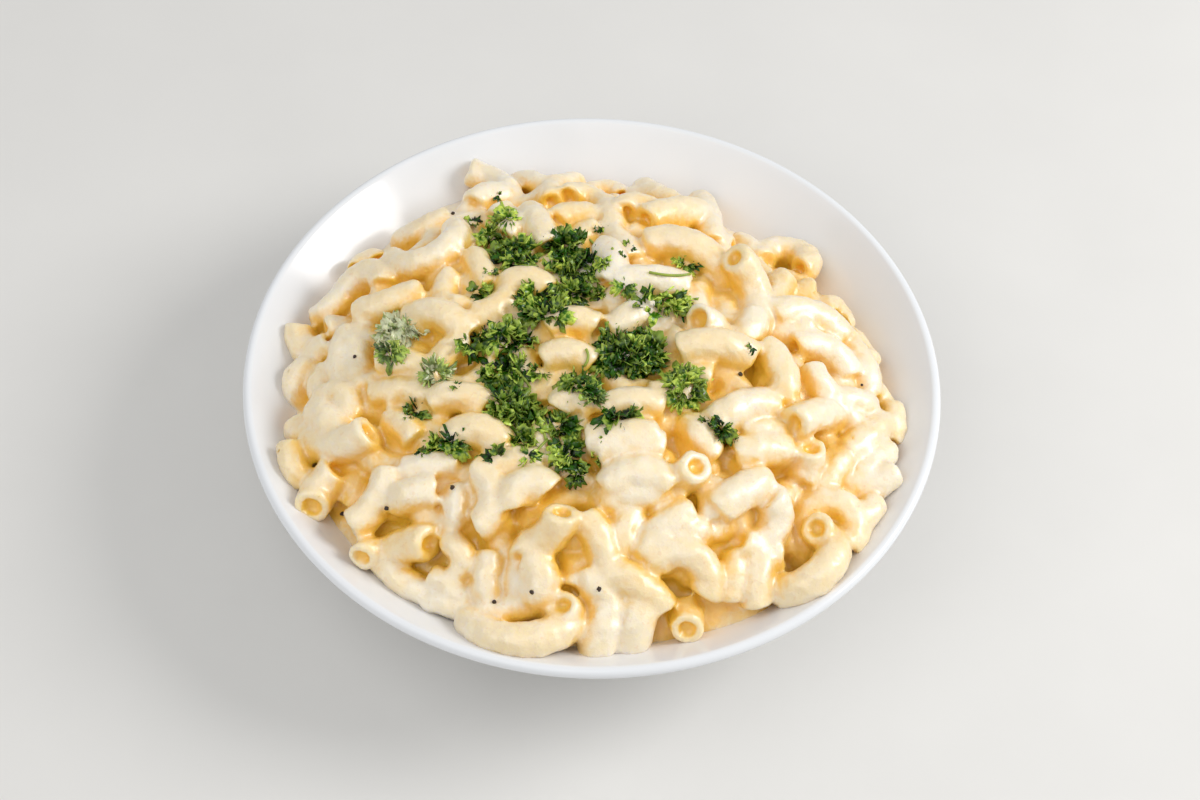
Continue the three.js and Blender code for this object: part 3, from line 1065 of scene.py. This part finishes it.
def addLobe(bm, base, heading, upward, length, bright, coated, chance):
    # a folded, ruffled fan with a toothed edge, in the plane of heading and the way across it
    s = parsleySettings
    across = heading.cross(upward).normalized()
    grid = bmesh.ops.create_grid(
        bm,
        x_segments=s["acrossSteps"],
        y_segments=s["alongSteps"],
        size=1,
    )["verts"]
    fringe = bm.verts.layers.float["fringe"]
    shine = bm.verts.layers.float["bright"]
    sauced = bm.verts.layers.float["coated"]
    spread = chance.uniform(*s["spread"])
    parts = chance.uniform(*s["parts"])
    notch = chance.uniform(*s["notch"])
    phase = chance.uniform(*s["phase"])
    curl = chance.uniform(*s["curl"])
    ruffle = chance.uniform(*s["ruffle"])
    fold = chance.uniform(*s["fold"])
    for vertex in grid:
        u, v = vertex.co.x, (vertex.co.y + 1) / 2  # u is -1 to 1 across, v is 0 to 1 along
        angle = u * spread
        teeth = 1 - abs(math.cos(0.5 * parts * u * math.pi + phase))
        outline = 1 - notch * teeth - s["shoulder"] * u * u
        reach = length * (s["stalk"] + (1 - s["stalk"]) * v) * (1 + (outline - 1) * v * v)
        wave = ruffle * v * v * math.sin(parts * s["ruffles"] * u * math.pi + phase)
        lift = length * (wave - curl * v * v + fold * u * u * v)
        place = heading * (reach * math.cos(angle)) + across * (reach * math.sin(angle)) + upward * lift
        vertex.co = base + place
        # painted light: each lobe pales towards its edge and darkens towards its stalk
        vertex[fringe] = v * v
        vertex[shine] = bright
        vertex[sauced] = coated


def addTuft(bm, ground, middle, size, leaves, bright, coated, chance):
    s = parsleySettings
    dense = min(1, leaves / s["denseTuft"])
    growth = s["growth"] * (s["looseGrowth"] - (s["looseGrowth"] - 1) * dense)
    longest = min(s["longest"][1], max(s["longest"][0], growth * sum(size) / 2))
    inset = s["inset"] * longest / mm * s["pixelsPerMm"]  # so that the lobes end where the tuft does
    for _ in range(leaves * s["lobesPerLeaf"]):
        radius = math.sqrt(chance.random())
        angle = chance.uniform(0, 2 * math.pi)
        across = middle[0] + max(1, size[0] - inset) * radius * math.cos(angle)
        down = middle[1] + max(1, size[1] - inset) * radius * math.sin(angle)
        base, slope = ground.under(across, down)
        if base is None:  # past the heap's edge
            continue
        upward = (slope + Vector((0, 0, s["upright"]))).normalized()
        flat = Vector((math.cos(angle), -math.sin(angle), 0))  # out of the tuft's middle
        flat.rotate(Matrix.Rotation(chance.gauss(0, s["headingSpread"]), 3, "Z"))
        side = flat.cross(upward).normalized()
        heading = upward.cross(side)
        tilt = chance.uniform(*s["tilt"]) * (s["tiltShares"][0] - s["tiltShares"][1] * radius)
        turn = Matrix.Rotation(tilt, 3, side)
        length = longest * chance.uniform(s["shortest"], 1)
        # painted light and shade, partly random tone: each leaf is lit or shaded about its tuft's
        # brightness
        shade = min(1, max(0, bright + chance.gauss(0, s["shadeSpread"])))
        rise = s["rise"] * dense * chance.random() * (1 - radius * radius) - s["sink"]
        addLobe(bm, base + upward * rise, turn @ heading, turn @ upward, length, shade, coated, chance)


def leafPaint():
    s = parsleySettings
    paint = Paint("curly parsley")
    fringe = paint.attribute("fringe")
    bright = paint.attribute("bright")
    coated = paint.attribute("coated")
    patches = paint.noise(1.2 * mm, 2)
    # painted shade and light: dark greens for shaded leaves, pale greens for lit ones and their lit edges
    shadedLeaf = paint.blend(bright, *s["shadeGreens"])
    litLeaf = paint.blend(bright, *s["litGreens"])
    leaf = paint.blend(paint.between(0.35 * fringe + patches, 0.45, 0.85), shadedLeaf, litLeaf)
    sauced = paint.blend(0.8 * coated, leaf, s["coatedGreen"])
    cream = paint.between(paint.noise(2.4 * mm, 2) + 0.5 * (coated - 0.5), 0.45, 0.6)
    colour = paint.blend(0.8 * cream * paint.between(coated, 0.02, 0.2), sauced, s["sauce"])
    return paint.finish(
        {
            "Base Color": colour,
            "Roughness": 0.09 + 0.22 * patches,
            "Subsurface Weight": 0.06,
            "Subsurface Scale": 1.0 * mm,
            "Specular IOR Level": 0.4,
            "Normal": paint.bump(paint.noise(0.5 * mm, 2), 0.06 * mm),
        }
    )


def addParsley(ground):
    s = parsleySettings
    chance = random.Random(s["seed"])
    bm = bmesh.new()
    for name in ("fringe", "bright", "coated"):
        bm.verts.layers.float.new(name)
    for tuft in parsleyViews:
        addTuft(bm, ground, *tuft, chance)
    thick = shaped(bm, "leaves", [("SOLIDIFY", {"thickness": s["thickness"], "offset": 0.0})])
    addPiece(thick, "parsley_leaves", leafPaint(), "parsley")


def stemPaint():
    paint = Paint("parsley stem")
    patches = paint.noise(2 * mm, 2)
    return paint.finish(
        {
            "Base Color": paint.blend(patches, *stemSettings["colours"]),
            "Roughness": 0.4,
            "Normal": paint.bump(paint.noise(0.4 * mm, 2), 0.05 * mm),
        }
    )


def addStems(ground):
    s = stemSettings
    stems = bmesh.new()
    for places in stemViews:
        points = []
        for across, down in places:
            place, slope = ground.under(across, down)
            points.append(place + Vector((0, 0, s["radius"])))
        addTo(stems, spunTube(*points, s["radius"], s["sides"], s["steps"]))
    addPiece(stems, "parsley_stems", stemPaint(), "parsley")


def pepperPaint():
    paint = Paint("ground pepper")
    patches = paint.noise(0.4 * mm, 2)
    return paint.finish(
        {
            "Base Color": paint.blend(patches, *pepperSettings["colours"]),
            "Roughness": 0.6,
        }
    )


def addPepper(ground):
    s = pepperSettings
    chance = random.Random(s["seed"])
    specks = bmesh.new()
    for place in pepperViews:
        point, slope = ground.under(*place)
        if point is None:  # past the heap's edge
            continue
        radius = chance.uniform(*s["radius"])
        made = bmesh.ops.create_icosphere(specks, subdivisions=2, radius=radius)["verts"]
        for vertex in made:
            lump = noise.noise(vertex.co / radius * s["lumps"] + point * s["apart"])
            vertex.co *= 1 + s["jitter"] * lump
            vertex.co += point + slope * s["stand"] * radius
    addPiece(specks, "pepper_specks", pepperPaint(), "pepper", smooth=False)


ground = Ground(macaroni)
addParsley(ground)
addStems(ground)
addPepper(ground)
report("parsley and pepper are scattered")

lightSettings = {
    "keyFrom": (0.87, 0.07, 0.64),
    "keyDistance": 1.1,
    "keySize": 0.55,
    "keyPower": 7.2,
    "fillFrom": (-0.4, -0.38, 0.84),
    "fillDistance": 1.2,
    "fillSize": 1.4,
    "fillPower": 5.3,
    "worldStrength": 0.5,
    "worldColour": (0.97, 0.985, 1.0, 1.0),
}


def addLight(name, towards, distance, size, power):
    lamp = bpy.data.lights.new(name, "AREA")
    lamp.shape = "DISK"
    lamp.size = size
    lamp.energy = power
    light = bpy.data.objects.new(name, lamp)
    bpy.context.collection.objects.link(light)
    direction = Vector(towards).normalized()
    light.location = direction * distance + Vector(cameraSettings["aim"])
    light.rotation_euler = direction.to_track_quat("Z", "Y").to_euler()


def addStudio():
    s = lightSettings
    addLight("key", s["keyFrom"], s["keyDistance"], s["keySize"], s["keyPower"])
    addLight("fill", s["fillFrom"], s["fillDistance"], s["fillSize"], s["fillPower"])
    world = bpy.data.worlds.new("studio")
    world.use_nodes = True
    sky = world.node_tree.nodes["Background"]
    sky.inputs["Color"].default_value = s["worldColour"]
    sky.inputs["Strength"].default_value = s["worldStrength"]
    scene = bpy.context.scene
    scene.world = world
    scene.view_settings.view_transform = "Standard"


floorSettings = {
    "reach": 2.5,  # from the middle, in metres
    "colours": ("#dcdad6", "#e4e2de"),
}


def floorPaint():
    paint = Paint("floor")
    mottle = paint.noise(60 * mm, 3)
    return paint.finish(
        {
            "Base Color": paint.blend(mottle, *floorSettings["colours"]),
            "Roughness": 0.75,
        }
    )


def addFloor():
    bm = bmesh.new()
    bmesh.ops.create_grid(bm, x_segments=1, y_segments=1, size=floorSettings["reach"])
    floor = addPiece(bm, "floor", floorPaint(), None, smooth=False)


addFloor()
addStudio()
report("floor and lights are in place")
